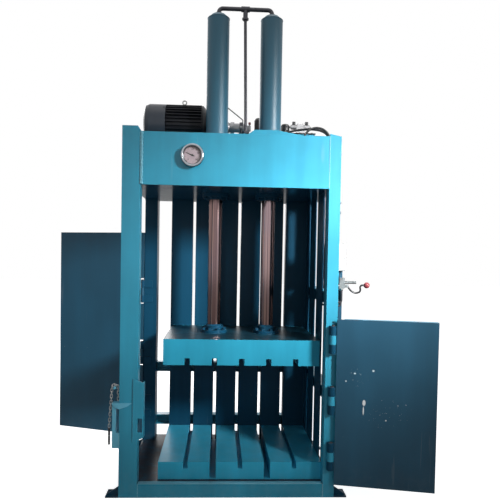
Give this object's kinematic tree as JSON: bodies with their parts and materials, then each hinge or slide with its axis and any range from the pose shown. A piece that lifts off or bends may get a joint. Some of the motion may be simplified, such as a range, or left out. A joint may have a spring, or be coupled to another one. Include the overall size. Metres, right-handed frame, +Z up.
{
  "type": "vertical recycling baler",
  "caption": "Upright hydraulic baler: open press frame with twin cylinders, slotted chamber, swinging doors, ram, power unit on top and a lever valve at the side.",
  "frame": {"origin": "middle of the machine's four anchor holes, on the floor", "axes": "+X to the right and +Y to the rear when facing the press opening, +Z up along the ram's travel"},
  "size_m": [2.7542, 1.2933, 3.424],
  "materials": {
    "painted_blue": "gloss teal-blue machine paint",
    "dark_blue": "teal-blue machine paint, worn",
    "black_paint": "satin black paint",
    "grey_paint": "grey enamel",
    "pale_paint": "pale grey powder coat",
    "steel": "zinc-plated steel",
    "dark_steel": "dark phosphated steel pipe",
    "chrome": "hard chrome plating",
    "cast_aluminium": "cast aluminium",
    "cast_iron": "machined cast iron",
    "rubber": "smooth hydraulic hose",
    "red_plastic": "gloss red",
    "black_plastic": "moulded black",
    "dial_white": "white dial enamel",
    "lens_clear": "clear gauge glass"
  },
  "bodies": {
    "frame": {"base_rails": "painted_blue", "deck_plate": "painted_blue", "front_left_column": "painted_blue", "front_right_column": "painted_blue", "rear_columns": "dark_blue", "anchor_feet": "dark_blue", "beam_front_plate": "painted_blue", "beam_top_plate": "painted_blue", "beam_bottom_plate": "painted_blue", "beam_webs": "painted_blue", "rear_panels": "dark_blue", "right_panels": "dark_blue", "wall_rails": "painted_blue", "floor_block": "dark_blue", "left_barrel": "painted_blue", "right_barrel": "painted_blue", "cylinder_glands": "dark_blue", "mount_flanges": "painted_blue", "crossover_pipe": "dark_steel", "pipe_fittings": "dark_steel", "riser_pipe": "dark_steel", "motor_housing": "grey_paint", "fan_cowl": "grey_paint", "motor_rails": "painted_blue", "terminal_box": "grey_paint", "eyebolt": "steel", "end_shield": "grey_paint", "bell_housing": "cast_aluminium", "gear_pump": "cast_aluminium", "oil_tank": "painted_blue", "tank_lid": "black_paint", "directional_valve": "black_paint", "valve_pipes": "dark_steel", "hydraulic_hoses": "rubber", "gauge_case": "chrome", "gauge_dial": "dial_white", "gauge_lens": "lens_clear", "hinge_brackets": "dark_blue", "hinge_pins": "dark_steel", "latch_bracket": "painted_blue", "latch_keeper": "painted_blue", "chain": "steel", "control_cabinet": "pale_paint", "valve_post": "dark_blue", "hand_valve": "pale_paint"},
    "ram": {"platen": "painted_blue", "platen_rear_plate": "painted_blue", "left_rod": "chrome", "right_rod": "chrome", "rod_flanges": "dark_blue", "pistons": "cast_iron"},
    "front_door": {"front_door_skin": "painted_blue", "front_door_bars": "painted_blue"},
    "side_door": {"side_door_skin": "dark_blue", "side_door_bars": "dark_blue"},
    "lever": {"valve_lever": "dark_steel", "lever_knob": "red_plastic"},
    "needle": {"gauge_needle": "black_plastic"},
    "rotor": {"motor_shaft": "steel", "cooling_fan": "black_plastic"}
  },
  "joints": [
    {"name": "ram_slide", "type": "slide", "parent": "frame", "child": "ram", "axis": [0, 0, 1], "range_m": [-0.17, 0.89]},
    {"name": "front_door_hinge", "type": "hinge", "parent": "frame", "child": "front_door", "pos_m": [0.678, -0.512, 0.6], "axis": [0, 0, 1], "range_deg": [-168, 10]},
    {"name": "side_door_hinge", "type": "hinge", "parent": "frame", "child": "side_door", "pos_m": [-0.692, 0.355, 0.9], "axis": [0, 0, 1], "range_deg": [0, 108.4]},
    {"name": "valve_lever_pivot", "type": "hinge", "parent": "frame", "child": "lever", "pos_m": [0.8772, -0.0355, 1.3904], "axis": [0, 1, 0], "range_deg": [-12, 12]},
    {"name": "gauge_needle_pivot", "type": "hinge", "parent": "frame", "child": "needle", "pos_m": [-0.26, -0.515, 2.239], "axis": [0, 1, 0], "range_deg": [-67, 203]},
    {"name": "motor_rotor", "type": "hinge", "parent": "frame", "child": "rotor", "pos_m": [-0.35, 0.21, 2.601], "axis": [1, 0, 0], "continuous": true}
  ]
}
